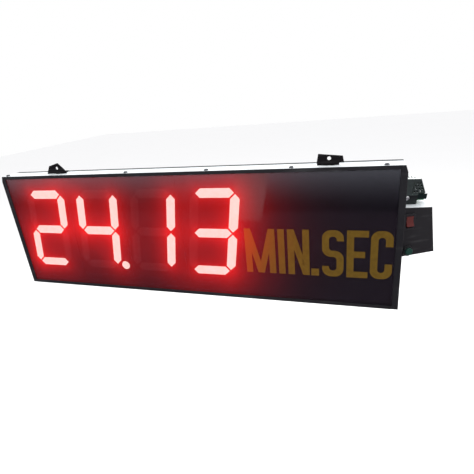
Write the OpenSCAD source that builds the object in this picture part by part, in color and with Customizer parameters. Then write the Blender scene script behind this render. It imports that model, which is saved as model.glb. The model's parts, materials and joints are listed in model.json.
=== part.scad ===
// Hanging round timer: a shallow LED cabinet behind a smoked screen, with a wedge shaped
// control console and a caged power supply at the right rear.
// X runs along the cabinet, Y from the screen towards the rear cover, Z is up.
// The origin is the centre of the cabinet's underside.

/* [Cabinet] */
// Overall width of the cabinet
cabinet_w = 584; // [580:1:600]
// Overall height of the cabinet
cabinet_h = 184; // [182:1:200]
// Depth from the frame's front to the rear cover's back
cabinet_d = 35; // [35:1:50]
// Sheet thickness of the shell and the rear cover
sheet_t = 1.2; // [0.8:0.1:1.4]
// Width of the cut across each top corner
corner_cut_w = 2.6; // [1:0.1:3.5]
// Height of the cut across each top corner
corner_cut_h = 8; // [4:0.5:10]

/* [Front frame] */
// Visible width of the two upright rails
side_lip = 7.5; // [6:0.5:9]
// Visible width of the top and bottom rails
rail_lip = 4.5; // [4:0.1:5]
// Thickness of the lip in front of the screen
lip_t = 1.2; // [1:0.1:1.4]
// Thickness of the rail's inner leg
leg_t = 1.6; // [1.2:0.1:1.8]
// Depth of the rail's inner leg
leg_d = 10.5; // [10:0.5:12]
// Depth of the rear cover's rim along the cabinet's edges
rim_d = 8; // [6:0.5:8]

/* [Screen] */
// Thickness of the smoked acrylic
screen_t = 2; // [1.5:0.5:2]
// Height of the capitals on the screen
letter_h = 64; // [50:1:66]
// Stroke width of the capitals
letter_stroke = 8.6; // [7:0.1:9.5]
// Thickness of the vinyl lettering
letter_t = 0.3; // [0.2:0.1:0.5]

/* [Digits] */
// Height of a lit character, tip to tip
digit_h = 127; // [120:0.5:127]
// Distance between the upright segments' centre lines
digit_w = 58; // [50:0.5:59]
// Width of a segment
segment_w = 13; // [10:0.1:14]
// Gap from a segment's tip to the corner that it points at
segment_gap = 1.7; // [1.2:0.1:2.5]
// Lean of the characters from the upright, in degrees
slant = 8.6; // [0:0.2:10]
// Width of one digit module
module_w = 92; // [90:0.5:92]
// Height of one digit module
module_h = 152; // [146:1:152]
// Distance from one module to the next
module_pitch = 93.2; // [92.2:0.1:93.4]
// Depth of a digit module's housing
module_d = 14; // [12:0.5:14]
// Diameter of the decimal point
point_d = 13.4; // [10:0.1:14]

/* [Control console] */
// Angle of the console's switch face to the screen, in degrees
console_angle = 28; // [26:1:30]
// Length of the switch face along its lower edge
console_face = 55.5; // [52:0.5:56]
// Height of the console where the switch face starts
console_h = 67.3; // [66:0.1:68]
// Lean of the console's end, and fall of its top, in degrees
console_lean = 7; // [4:0.5:7]
// Distance from the cabinet's underside to the console's underside
console_z = 56.2; // [50:0.2:58]
// Depth of the console behind the rear cover
console_d = 62; // [61:0.5:66]
// Wall thickness of the console
console_t = 2; // [1.6:0.1:2.4]
// Full swing of the rocker switch, in degrees
rocker_swing = 20; // [14:1:20]
// Travel of the push button
button_travel = 2; // [1:0.1:2]

/* [Power supply] */
// Length of the power supply's cage, without the hood over its terminals
psu_l = 54; // [54:1:58]
// Width of the power supply
psu_w = 28; // [28:1:32]
// Height of the power supply
psu_h = 33; // [32:1:35]
// Sheet thickness of the cage
psu_t = 1; // [0.8:0.1:1.2]

/* [Hangers] */
// Height of the hanger plates above the cabinet
hanger_h = 13.5; // [12:0.5:16]
// Thickness of the hanger plates
hanger_t = 1.5; // [1.2:0.1:2]
// Diameter of the hole for the chain or wire
hanger_hole_d = 4.5; // [3:0.1:5]
// Clearance between a hanger's foot and the cabinet
hanger_gap = 0.5; // [0.4:0.1:0.8]

/* [Hidden] */
$fn = 48;

half_w = cabinet_w / 2;
front_y = -cabinet_d / 2;
rear_y = cabinet_d / 2;

// Fits and small clearances
seat = 0.2;          // gap round a part that drops into a pocket
running = 0.06;      // radial clearance of a shaft that turns or slides
hole_slack = 0.1;    // radial clearance of a screw in its hole

// Depths behind the frame's front
screen_front = lip_t;
screen_back = screen_front + screen_t;
gasket_t = 0.6;
mask_front = screen_back + gasket_t;
mask_t = 1;
module_front = mask_front + 0.2;
module_back = module_front + module_d;
digit_board_t = 1.6;
digit_board_back = module_back + digit_board_t;
bar_d = 6;
bar_h = 8;
bar_back = digit_board_back + bar_d;
cover_front = cabinet_d - sheet_t;
rim_front = cabinet_d - rim_d;
flange_w = 11;
cover_screw_edge = 6;

// Margin of the screen, gasket and mask from the cabinet's outside
screen_edge = sheet_t + leg_t + seat;

// Screws: thread diameters, and the size of a pan head for its thread
m3 = 3;
m4 = 4;
head_ratio = 1.85;
head_height_ratio = 0.62;
head_top_ratio = 0.62;

// Where the five front screws stand along the cabinet
rail_screw_x = [-half_w + 10.5, -69, 52, 162.5, half_w - 22];
rail_screw_depth = 4 + lip_t;

// Digits: the middle of the first module and what each one shows
digit_count = 4;
digit_z = cabinet_h - 87.2;
first_digit_x = -228.3;
half_rise = (digit_h - segment_w) / 2;
half_span = digit_w / 2;
lens_t = 3;
well_floor = 2;
// Segments in the order a b c d e f g
shown = [
    [1, 1, 0, 1, 1, 0, 1],
    [0, 1, 1, 0, 0, 1, 1],
    [0, 1, 1, 0, 0, 0, 0],
    [1, 1, 1, 1, 0, 0, 1]
];
point_digit = 1;
point_dx = 34.8;
point_dz = -57;
lens_slack = 0.1;
lamp = [4, 1.4, 4];
lamp_step = 13;

// Bars behind the modules: how far the modules' screws stand from each module's middle
module_fix_x = 34;
module_fix_z = 66;

// Lettering: the left end and the base line, and each glyph's width
letters_x = 97;
letters_z = 42;
glyph_w = [41, 11.5, 28, 10, 26.5, 25.5, 25.5];
glyph_gap = [2.5, 2.5, 2, 4, 3.5, 2.5, 0];

// Driver board
driver_x = 122;
driver_z = 44;
driver_w = 136;
driver_h = 96;
standoff_l = 7;
driver_back = cover_front - standoff_l;
driver_front = driver_back - digit_board_t;
standoff_inset = 6;

// Ribbon cable behind the modules and its plugs
ribbon_z = digit_z - 4;
ribbon_w = 20;
ribbon_t = 1;
ribbon_tail = 8;
plug = [12, 4.6, 24];

// Console: where the switch face starts and the local direction along it
face_start = [half_w - 3.6, rear_y + 0.2];
face_u = [cos(console_angle), sin(console_angle)];
face_v = [-sin(console_angle), cos(console_angle)];
face_plate_t = 1;
console_left = 248;
console_foot_x = face_start.x + console_face * face_u.x;
console_back = rear_y + console_d;
console_lid_y = console_back - console_t;
console_fix_x = 262;
boss_r = 4;
boss_l = 10;

// Rocker switch: [along the face, height]
rocker_u = 15.8;
rocker_z = cabinet_h - 80.4;
rocker_bezel = [15, 21];
rocker_bezel_t = 1.6;
rocker_body = [12.8, 18.8];
rocker_well = [10, 15.4];
rocker_depth = 13;
rocker_pin_r = 1;
rocker_pivot_v = 2.6;

// Push button: ring in front of the face, thin barrel behind it
button_u = 16;
button_z = cabinet_h - 120.2;
button_ring_r = 7.2;
button_ring_t = 3;
button_floor_t = 0.5;
button_barrel_r = 4.6;
button_barrel_l = 16;
button_cap_r = 4.8;
button_cap_l = 3;
button_proud = button_travel + 0.6;
button_stem_r = 2;
button_stem_l = 9;
button_nut_r = 6.1;
button_nut_t = 3;

// Mains inlet and sounder on the console's lid
inlet_x = 291;
inlet_z = 82;
inlet_cut = [28, 21];
inlet_flange = [34, 25];
inlet_flange_t = 2.4;
inlet_recess = [24, 16.5];
inlet_depth = 16;
sounder_x = 266;
sounder_z = console_z + console_h / 2;
sound_slots = 6;
sound_slot_pitch = 4.6;

// Power supply, in the console's local directions
psu_u = -21;
psu_v = 12.5;
psu_side_h = 11.5;
psu_low = psu_side_h + 0.2;
psu_lug = [8, 1, 12];
psu_lug_u = 35;
psu_screw_z = 8.4;
psu_board_z = 4.5;
psu_board_t = 1.6;
psu_board_top = psu_board_z + psu_board_t;
psu_terminal_l = 14;
psu_terminal_v = 1;
psu_terminal_h = 7;
psu_terminal_w = psu_w - 2 * psu_terminal_v;
psu_shelf_h = 3.8;
terminal_ways = 5;
terminal_barrier = 0.9;
terminal_pitch = (psu_terminal_w - terminal_barrier) / terminal_ways;
terminal_hole_d = 2.1;
terminal_screw_d = 1.9;
terminal_screw_l = 3;
terminal_screw_u = psu_l + 7.5;
hood_z = 14.5;
hood_reach = 10;
seam_u = 45;
seam_w = 0.8;
perforation_d = 2.8;
perforation_pitch = 4.2;
perforation_row = perforation_pitch * 0.87;

// Hangers: bolt places, the foot, the plate in front of the bolt and its hole
hanger_x = [-190, 206.5];
hanger_bolt_y = 2;
plate_ahead = 9;
foot_w = 14;
foot_back = 7;
foot_z = cabinet_h + hanger_gap;
hanger_hole_z = foot_z + 8;
washer_r = 4.5;
nut_r = 4;
nut_t = 3.2;

// ---------- shared shapes ----------

// A box between two corners
module block(low, high) {
    translate(low) cube(high - low);
}

// Extrudes an X-Z outline from depth y0 to y1
module along_y(y0, y1) {
    translate([0, y1, 0]) rotate([90, 0, 0]) linear_extrude(y1 - y0) children();
}

// The same, with the depths measured behind the frame's front
module at_depth(d0, d1) {
    along_y(front_y + d0, front_y + d1) children();
}

// A rectangle with rounded corners, centred
module round_rect(w, h, r) {
    square([w - 2 * r, h], center = true);
    square([w, h - 2 * r], center = true);
    for (sx = [-1, 1], sz = [-1, 1])
        translate([sx * (w / 2 - r), sz * (h / 2 - r)]) circle(r);
}

// Puts children in the console's frame: X along the switch face, Y into the console
module on_face() {
    translate([face_start.x, face_start.y, 0]) rotate([0, 0, console_angle]) children();
}

// Pan head screw: head above the origin, thread below
module pan_screw(d, l) {
    head_r = d * head_ratio / 2;
    head_h = d * head_height_ratio;
    difference() {
        union() {
            cylinder(r = head_r, h = head_h * 0.55);
            translate([0, 0, head_h * 0.55])
                cylinder(r1 = head_r, r2 = head_r * head_top_ratio, h = head_h * 0.45);
        }
        for (turn = [0, 90])
            rotate([0, 0, turn])
                translate([-head_r * 0.55, -d * 0.09, head_h * 0.45]) cube([head_r * 1.1, d * 0.18, head_h]);
    }
    translate([0, 0, -l]) cylinder(d = d, h = l);
}

// Countersunk screw: head flush with the origin's level, thread below
module flat_screw(d, l) {
    head_h = sheet_t;
    difference() {
        translate([0, 0, -head_h]) cylinder(r1 = d / 2, r2 = d / 2 + head_h, h = head_h);
        for (turn = [0, 90])
            rotate([0, 0, turn])
                translate([-d * 0.45, -d * 0.09, -head_h * 0.6]) cube([d * 0.9, d * 0.18, head_h]);
    }
    translate([0, 0, -l]) cylinder(d = d, h = l - head_h);
}

// Screw whose head is on the rear side and whose thread runs towards the front
module rear_screw(d, l) {
    rotate([-90, 0, 0]) pan_screw(d, l);
}

// Cabinet outline with its two cut top corners, drawn smaller by inset
module cabinet_outline(inset) {
    w = half_w - inset;
    top = cabinet_h - inset;
    cut_w = corner_cut_w;
    cut_h = corner_cut_h;
    polygon([
        [-w, inset], [w, inset], [w, top - cut_h],
        [w - cut_w, top], [-w + cut_w, top], [-w, top - cut_h]
    ]);
}

// ---------- front frame ----------

module side_rail() {
    color("#1c1c20") {
        at_depth(0, lip_t)
            polygon([
                [-half_w, 0], [-half_w + side_lip, 0], [-half_w + side_lip, cabinet_h],
                [-half_w + corner_cut_w, cabinet_h], [-half_w, cabinet_h - corner_cut_h]
            ]);
        at_depth(lip_t, lip_t + leg_d)
            translate([-half_w + sheet_t, screen_edge])
                square([leg_t, cabinet_h - 2 * corner_cut_h - 2 * leg_t]);
    }
}

module frame_left_rail() {
    side_rail();
}

module frame_right_rail() {
    mirror([1, 0, 0]) side_rail();
}

// A top or bottom rail lying at height zero, its lip reaching up
module level_rail() {
    reach = half_w - side_lip;
    block([-reach, front_y, 0], [reach, front_y + lip_t, rail_lip]);
    difference() {
        block(
            [-reach, front_y + lip_t, sheet_t],
            [reach, front_y + lip_t + leg_d, sheet_t + leg_t]
        );
        for (x = rail_screw_x)
            translate([x, front_y + rail_screw_depth, 0]) cylinder(d = m3, h = 2 * rail_lip);
    }
}

module frame_bottom_rail() {
    color("#1c1c20") level_rail();
}

module frame_top_rail() {
    color("#1c1c20") translate([0, 0, cabinet_h]) mirror([0, 0, 1]) level_rail();
}

// L shaped keys that join the rails behind the mask
module frame_corner_keys() {
    arm = 13;
    thick = 4;
    inner = sheet_t + leg_t;
    color("silver")
        for (side = [0, 1], top = [0, 1])
            translate([0, 0, top * cabinet_h])
                mirror([0, 0, top])
                    mirror([side, 0, 0])
                        at_depth(mask_front + mask_t + 0.5, lip_t + leg_d)
                            translate([-half_w + inner, inner + corner_cut_h * top])
                                polygon([
                                    [0, 0], [arm, 0], [arm, thick], [thick, thick], [thick, arm], [0, arm]
                                ]);
}

// Pan heads along the top; countersunk ones below, so that the underside is flat
module frame_screws() {
    grip = sheet_t + leg_t;
    color("#2a2a2e")
        for (x = rail_screw_x) {
            translate([x, front_y + rail_screw_depth, cabinet_h]) pan_screw(m3, grip);
            translate([x, front_y + rail_screw_depth, 0]) mirror([0, 0, 1]) flat_screw(m3, grip);
        }
}

// ---------- screen, gasket, lettering and mask ----------

module front_screen() {
    color("#2b2530", 0.55) at_depth(screen_front, screen_back) cabinet_outline(screen_edge);
}

module screen_gasket() {
    strip = 4;
    color("#111111")
        at_depth(screen_back, mask_front)
            difference() {
                cabinet_outline(screen_edge);
                cabinet_outline(screen_edge + strip);
            }
}

// The black panel round the digits
module front_mask() {
    window_w = (digit_count - 1) * module_pitch + module_w + 2 * seat;
    window_h = module_h + 2 * seat;
    color("#131316")
        at_depth(mask_front, mask_front + mask_t)
            difference() {
                cabinet_outline(screen_edge);
                translate([first_digit_x - module_w / 2 - seat, digit_z - window_h / 2])
                    square([window_w, window_h]);
            }
}

// Plain capitals, each drawn from its lower left corner
module upright(x) {
    translate([x, 0]) square([letter_stroke, letter_h]);
}

module letter_m(w) {
    s = letter_stroke;
    upright(0);
    upright(w - s);
    for (flip = [0, 1])
        translate([flip * w, 0])
            mirror([flip, 0])
                polygon([[0, letter_h], [s, letter_h], [w / 2 + s / 2, 0], [w / 2 - s / 2, 0]]);
}

module letter_i(w) {
    translate([(w - letter_stroke) / 2, 0]) square([letter_stroke, letter_h]);
}

module letter_n(w) {
    s = letter_stroke;
    upright(0);
    upright(w - s);
    polygon([[0, letter_h], [s, letter_h], [w, 0], [w - s, 0]]);
}

module letter_point(w) {
    square([w, w]);
}

// A round-cornered loop of stroke letter_stroke
module loop(w, h) {
    s = letter_stroke;
    outer_r = min(w, h) * 0.42;
    translate([w / 2, h / 2])
        difference() {
            round_rect(w, h, outer_r);
            round_rect(w - 2 * s, h - 2 * s, outer_r * 0.38);
        }
}

// Two bowls that share the middle bar, the upper one open at the right, the lower at the left
module letter_s(w) {
    s = letter_stroke;
    bowl = (letter_h + s) / 2;
    tip = s * 0.7;
    difference() {
        translate([0, letter_h - bowl]) loop(w, bowl);
        translate([w / 2, letter_h - bowl - 1]) square([w, bowl - s - tip + 1]);
    }
    difference() {
        loop(w, bowl);
        translate([-w / 2, s + tip]) square([w, bowl - s - tip + 1]);
    }
}

module letter_e(w) {
    s = letter_stroke;
    middle = (letter_h - s) / 2;
    upright(0);
    for (z = [0, letter_h - s])
        translate([0, z]) square([w, s]);
    translate([0, middle]) square([w * 0.86, s]);
}

module letter_c(w) {
    s = letter_stroke;
    mouth = letter_h * 0.36;
    difference() {
        loop(w, letter_h);
        translate([w / 2, (letter_h - mouth) / 2]) square([w, mouth]);
    }
}

// Left edge of glyph i, from the widths and gaps before it
function glyph_x(i) = i == 0 ? 0 : glyph_x(i - 1) + glyph_w[i - 1] + glyph_gap[i - 1];

module screen_lettering() {
    color("#d09a20")
        at_depth(screen_front - letter_t, screen_front)
            translate([letters_x, letters_z]) {
                translate([glyph_x(0), 0]) letter_m(glyph_w[0]);
                translate([glyph_x(1), 0]) letter_i(glyph_w[1]);
                translate([glyph_x(2), 0]) letter_n(glyph_w[2]);
                translate([glyph_x(3), 0]) letter_point(glyph_w[3]);
                translate([glyph_x(4), 0]) letter_s(glyph_w[4]);
                translate([glyph_x(5), 0]) letter_e(glyph_w[5]);
                translate([glyph_x(6), 0]) letter_c(glyph_w[6]);
            }
}

// ---------- cabinet ----------

// A band of the cabinet's outline between two insets and two depths
module outline_band(d0, d1, outer, inner) {
    at_depth(d0, d1)
        difference() {
            cabinet_outline(outer);
            cabinet_outline(inner);
        }
}

// The shell steps in by its own thickness at the back, under the rear cover's rim
module cabinet_shell() {
    step = rim_front - seat;
    color("#e4e6e8")
        difference() {
            union() {
                outline_band(lip_t, step, 0, sheet_t);
                outline_band(step - sheet_t, step, sheet_t / 2, 2 * sheet_t);
                outline_band(step - sheet_t, cover_front, sheet_t, 2 * sheet_t);
                at_depth(cover_front - sheet_t, cover_front)
                    difference() {
                        cabinet_outline(sheet_t * 1.5);
                        translate([-half_w + flange_w, flange_w])
                            square([cabinet_w - 2 * flange_w, cabinet_h - 2 * flange_w]);
                    }
            }
            for (x = rail_screw_x)
                translate([x, front_y + rail_screw_depth, 0]) {
                    translate([0, 0, -1]) cylinder(d = m3 + 2 * hole_slack, h = cabinet_h + 2);
                    cylinder(r1 = m3 / 2 + sheet_t + hole_slack, r2 = m3 / 2 + hole_slack, h = sheet_t);
                }
            for (x = hanger_x)
                translate([x, hanger_bolt_y, cabinet_h - 5]) cylinder(d = m4 + 2 * hole_slack, h = 10);
            for (z = bar_z())
                translate([-half_w - 1, bar_y(), z])
                    rotate([0, 90, 0]) cylinder(d = m3 + 2 * hole_slack, h = cabinet_w + 2);
            for (at = cover_screw_places())
                translate([at.x, rear_y, at.y]) rotate([90, 0, 0]) cylinder(d = m3, h = 8);
        }
}

// Screws round the rear cover's edge, as [x, z]
function cover_screw_places() = concat(
    [for (x = [-200, -80, 40, 160]) for (z = [cover_screw_edge, cabinet_h - cover_screw_edge]) [x, z]],
    [for (x = [-half_w + cover_screw_edge, half_w - cover_screw_edge]) for (z = [22, cabinet_h - 18]) [x, z]]
);

module cover_vents() {
    slot_w = 3;
    slot_h = 26;
    slot_pitch = 7.8;
    row_pitch = 60;
    low_row_z = 50;
    for (bank = [-160, 30], i = [0 : 11], row = [0, 1])
        translate([bank + i * slot_pitch, rear_y - 3, low_row_z + row * row_pitch]) cube([slot_w, 4, slot_h]);
}

module rear_cover() {
    color("#54565a")
        difference() {
            union() {
                at_depth(cover_front, cabinet_d) cabinet_outline(0);
                outline_band(rim_front, cabinet_d, 0, sheet_t - 0.1);
            }
            cover_vents();
            for (at = concat(cover_screw_places(), standoff_places()))
                translate([at.x, rear_y + 1, at.y])
                    rotate([90, 0, 0]) cylinder(d = m3 + 2 * hole_slack, h = 4);
            for (z = console_fix_z())
                translate([console_fix_x, rear_y + 1, z])
                    rotate([90, 0, 0]) cylinder(d = m4 + 2 * hole_slack, h = 4);
        }
}

module rear_cover_screws() {
    color("silver") {
        for (at = cover_screw_places())
            translate([at.x, rear_y, at.y]) rear_screw(m3, 2 * sheet_t + 0.8);
        for (at = standoff_places())
            translate([at.x, rear_y, at.y]) rear_screw(m3, sheet_t + 3);
    }
}

// ---------- digits ----------

function digit_x(i) = first_digit_x + i * module_pitch;
function lean(p) = [p.x + p.y * tan(slant), p.y];

// A level segment centred on [0, z], as leaning points
function level_segment(z, s) = let (tip = half_span - segment_gap, h = s / 2) [
    for (p = [[-tip, z], [-tip + h, z + h], [tip - h, z + h], [tip, z], [tip - h, z - h], [-tip + h, z - h]])
        lean(p)
];

// An upright segment at x between the heights z0 and z1
function upright_segment(x, z0, z1, s) = let (a = z0 + segment_gap, b = z1 - segment_gap, h = s / 2) [
    for (p = [[x, a], [x + h, a + h], [x + h, b - h], [x, b], [x - h, b - h], [x - h, a + h]])
        lean(p)
];

// Outline of segment k, in the order a b c d e f g, of width s
function segment_points(k, s) =
    k == 0 ? level_segment(half_rise, s) :
    k == 1 ? upright_segment(half_span, 0, half_rise, s) :
    k == 2 ? upright_segment(half_span, -half_rise, 0, s) :
    k == 3 ? level_segment(-half_rise, s) :
    k == 4 ? upright_segment(-half_span, -half_rise, 0, s) :
    k == 5 ? upright_segment(-half_span, 0, half_rise, s) :
    level_segment(0, s);

// Middle of segment k, for the lamps under it
function segment_middle(k) =
    k == 0 ? lean([0, half_rise]) :
    k == 1 ? lean([half_span, half_rise / 2]) :
    k == 2 ? lean([half_span, -half_rise / 2]) :
    k == 3 ? lean([0, -half_rise]) :
    k == 4 ? lean([-half_span, -half_rise / 2]) :
    k == 5 ? lean([-half_span, half_rise / 2]) :
    [0, 0];

module digit_housing(i) {
    color("#241418")
        difference() {
            at_depth(module_front, module_back)
                translate([digit_x(i), digit_z]) square([module_w, module_h], center = true);
            at_depth(module_front - 1, module_back - well_floor)
                translate([digit_x(i), digit_z]) {
                    for (k = [0 : 6])
                        polygon(segment_points(k, segment_w));
                    if (i == point_digit)
                        translate([point_dx, point_dz]) circle(d = point_d);
                }
            for (sx = [-1, 1], z = bar_z())
                translate([digit_x(i) + sx * module_fix_x, front_y + module_back + 1, z])
                    rotate([90, 0, 0]) cylinder(d = m3, h = 8);
        }
}

// The lenses of digit i that are lit (on = 1) or dark (on = 0)
module digit_lenses(i, on) {
    at_depth(module_front, module_front + lens_t)
        translate([digit_x(i), digit_z])
            for (k = [0 : 6])
                if (shown[i][k] == on)
                    polygon(segment_points(k, segment_w - lens_slack));
}

module digit_lit(i) {
    color("#ff5040") digit_lenses(i, 1);
}

module digit_unlit(i) {
    color("#5a2a2e") digit_lenses(i, 0);
}

module decimal_point() {
    color("#ff5040")
        at_depth(module_front, module_front + lens_t)
            translate([digit_x(point_digit) + point_dx, digit_z + point_dz]) circle(d = point_d - lens_slack);
}

// Three lamps under each segment and one under the point
module segment_leds() {
    lamp_y = front_y + module_back - well_floor - lamp.y;
    color("#f4e9c8") {
        for (i = [0 : digit_count - 1], k = [0 : 6], j = [-1, 0, 1]) {
            level = k == 0 || k == 3 || k == 6;
            step = level ? [j * lamp_step, 0] : lean([0, j * lamp_step]);
            at = segment_middle(k) + step;
            translate([digit_x(i) + at.x, lamp_y, digit_z + at.y])
                translate([-lamp.x / 2, 0, -lamp.z / 2]) cube(lamp);
        }
        translate([digit_x(point_digit) + point_dx - lamp.x / 2, lamp_y, digit_z + point_dz - lamp.z / 2])
            cube(lamp);
    }
}

module digit_boards() {
    board_w = module_w - 4;
    board_h = module_h - 6;
    color("#1f5a34")
        for (i = [0 : digit_count - 1])
            difference() {
                at_depth(module_back, digit_board_back)
                    translate([digit_x(i), digit_z]) square([board_w, board_h], center = true);
                for (sx = [-1, 1], z = bar_z())
                    translate([digit_x(i) + sx * module_fix_x, front_y + digit_board_back + 1, z])
                        rotate([90, 0, 0]) cylinder(d = m3 + 2 * hole_slack, h = 4);
            }
}

// Two aluminium bars carry the four modules between the cabinet's ends
function bar_z() = [digit_z - module_fix_z, digit_z + module_fix_z];
function bar_y() = front_y + digit_board_back + bar_d / 2;

module digit_rails() {
    reach = half_w - sheet_t;
    color("#b8bcc0")
        for (z = bar_z())
            difference() {
                block(
                    [-reach, front_y + digit_board_back, z - bar_h / 2],
                    [reach, front_y + bar_back, z + bar_h / 2]
                );
                for (i = [0 : digit_count - 1], sx = [-1, 1])
                    translate([digit_x(i) + sx * module_fix_x, front_y + bar_back + 1, z])
                        rotate([90, 0, 0]) cylinder(d = m3 + 2 * hole_slack, h = bar_d + 2);
                for (sx = [-1, 1])
                    translate([sx * (reach - 6), bar_y(), z])
                        rotate([0, 90, 0]) cylinder(d = m3, h = 14, center = true);
            }
}

module digit_screws() {
    color("silver")
        for (i = [0 : digit_count - 1], sx = [-1, 1], z = bar_z())
            translate([digit_x(i) + sx * module_fix_x, front_y + bar_back, z])
                rear_screw(m3, bar_d + digit_board_t + 5);
}

module rail_end_screws() {
    color("silver")
        for (sx = [-1, 1], z = bar_z())
            translate([sx * half_w, bar_y(), z]) rotate([0, sx * 90, 0]) pan_screw(m3, sheet_t + 9);
}

// ---------- driver board ----------

function standoff_places() = [
    for (x = [driver_x + standoff_inset, driver_x + driver_w - standoff_inset])
        for (z = [driver_z + standoff_inset, driver_z + driver_h - standoff_inset]) [x, z]
];

module driver_board() {
    color("#1f6b3c")
        difference() {
            block(
                [driver_x, front_y + driver_front, driver_z],
                [driver_x + driver_w, front_y + driver_back, driver_z + driver_h]
            );
            for (at = standoff_places())
                translate([at.x, front_y + driver_back + 1, at.y])
                    rotate([90, 0, 0]) cylinder(d = m3 + 2 * hole_slack, h = 4);
        }
}

// Driver chips on the front of the board, their legs joined to the body
module driver_chips() {
    chip = [7, 3.6, 19];
    leg_out = 1;
    legs = 7;
    color("#202022")
        for (i = [0 : 5])
            translate([driver_x + 22 + i * 17, front_y + driver_front - chip.y - 0.6, driver_z + 58]) {
                cube([chip.x, chip.y, chip.z]);
                for (j = [0 : legs - 1], side = [0, 1])
                    translate([side * (chip.x + leg_out) - leg_out, chip.y / 2, 1 + j * 2.54])
                        cube([leg_out, chip.y / 2 + 0.6, 1.2]);
            }
}

module backup_cell() {
    cell_r = 10;
    color("#c8cacc")
        translate([driver_x + 28, front_y + driver_front, driver_z + 26])
            rotate([90, 0, 0]) {
                cylinder(r = cell_r, h = 3.2);
                translate([-3, -cell_r - 2, 0]) cube([6, 2 * cell_r + 4, 4]);
            }
}

module board_standoffs() {
    hex_r = 3.2;
    color("#c9a24a")
        for (at = standoff_places()) {
            translate([at.x, front_y + cover_front, at.y])
                rotate([90, 0, 0])
                    difference() {
                        cylinder(r = hex_r, h = standoff_l, $fn = 6);
                        translate([0, 0, -1]) cylinder(d = m3, h = 4.5);
                    }
            translate([at.x, front_y + driver_front, at.y])
                rotate([90, 0, 0]) pan_screw(m3, digit_board_t + 1.5);
        }
}

// One flat cable runs behind all four modules to the driver board
module ribbon_cable() {
    run_y = front_y + digit_board_back + plug.y;
    color("#8f949c")
        block(
            [digit_x(0) - plug.x / 2, run_y, ribbon_z - ribbon_w / 2],
            [driver_x - ribbon_tail, run_y + ribbon_t, ribbon_z + ribbon_w / 2]
        );
}

// A plug under the cable at each module, and one on the lead to the driver board
module ribbon_plugs() {
    plug_y = front_y + digit_board_back;
    lead_t = 1.4;
    color("#202022") {
        for (i = [0 : digit_count - 1])
            translate([digit_x(i) - plug.x / 2, plug_y, ribbon_z - plug.z / 2]) cube(plug);
        translate([driver_x - ribbon_tail, front_y + driver_front - lead_t, ribbon_z - plug.z / 2])
            cube([ribbon_tail + plug.x, lead_t, plug.z]);
    }
}

// ---------- control console ----------

function console_fix_z() = [console_z + 14, console_z + console_h - 14];

// The console's end leans in as it rises and its top falls towards the end.
// Both are given with every wall drawn smaller by inset.
function console_end_x(z, inset) =
    console_foot_x - (z - console_z) * tan(console_lean) - inset / cos(console_lean);
function console_top_z(x, inset) =
    console_z + console_h - (x - face_start.x) * tan(console_lean) - inset / cos(console_lean);
function console_peak_x(inset) = let (slope = tan(console_lean))
    (console_end_x(console_top_z(0, inset), inset)) / (1 - slope * slope);

// Corners of the console seen from the rear, as [x, z], from the lower left round to the upper left
function console_corners(inset) = let (
    left = console_left + inset,
    low = console_z + inset,
    peak = console_peak_x(inset)
) [
    [left, low], [console_end_x(low, inset), low],
    [peak, console_top_z(peak, inset)], [left, console_top_z(left, inset)]
];

module console_profile(inset) {
    polygon(console_corners(inset));
}

// The console's plan behind its face plate, with walls smaller by inset, open past the end
module console_plan(inset, back) {
    reach = console_foot_x + 10;
    slope = tan(console_angle);
    lift = (inset + face_plate_t) / cos(console_angle);
    front = rear_y + inset;
    bend_x = face_start.x + (front - face_start.y - lift) / slope;
    corner_y = face_start.y + lift + (reach - face_start.x) * slope;
    polygon([[console_left, front], [bend_x, front], [reach, corner_y], [reach, back], [console_left, back]]);
}

// A solid of the console's shape, its walls smaller by inset and its rear at the depth back
module console_block(inset, back) {
    intersection() {
        linear_extrude(cabinet_h) console_plan(inset, back);
        along_y(rear_y, console_back + 1) console_profile(inset);
    }
}

// Where the switch and the button pass through the face
module face_openings() {
    on_face() {
        translate([rocker_u, 0, rocker_z])
            cube([rocker_body.x + 2 * seat, 4 * console_t, rocker_body.y + 2 * seat], center = true);
        translate([button_u, -console_t, button_z])
            rotate([-90, 0, 0]) cylinder(r = button_barrel_r + hole_slack, h = 4 * console_t);
    }
}

module console_body() {
    color("#e4e6e8")
        difference() {
            union() {
                difference() {
                    console_block(0, console_back);
                    console_block(console_t, console_back + 1);
                }
                for (at = lid_screw_places())
                    translate([at.x, console_lid_y, at.y])
                        rotate([90, 0, 0]) cylinder(r = boss_r, h = boss_l);
            }
            for (at = lid_screw_places())
                translate([at.x, console_lid_y + 1, at.y]) rotate([90, 0, 0]) cylinder(d = m3, h = boss_l);
            face_openings();
            for (z = console_fix_z())
                translate([console_fix_x, rear_y + 4, z]) rotate([90, 0, 0]) cylinder(d = m4, h = 6);
            psu_fix_holes(m3);
        }
}

// The black plate that carries the switches, clamped under their bezels
module console_face_plate() {
    color("#2b2b2e")
        difference() {
            intersection() {
                on_face()
                    translate([0, 0, console_z]) cube([console_face + 2, face_plate_t, 2 * console_h]);
                along_y(rear_y, console_back) console_profile(seat);
            }
            face_openings();
        }
}

// Rear lid, let into the body against its corner bosses
function lid_screw_places() = console_corners(console_t + boss_r - 0.5);

module console_lid() {
    slot_w = 18;
    slot_h = 2;
    middle = (sound_slots - 1) / 2;
    color("#54565a")
        difference() {
            along_y(console_lid_y, console_back) console_profile(console_t + seat);
            along_y(console_lid_y - 1, console_back + 1)
                translate([inlet_x, inlet_z]) square(inlet_cut + [2 * seat, 2 * seat], center = true);
            for (i = [0 : sound_slots - 1])
                translate([sounder_x, console_back, sounder_z + (i - middle) * sound_slot_pitch])
                    cube([slot_w, 3 * console_t, slot_h], center = true);
            for (at = lid_screw_places())
                translate([at.x, console_back + 1, at.y])
                    rotate([90, 0, 0]) cylinder(d = m3 + 2 * hole_slack, h = 8);
        }
}

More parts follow.
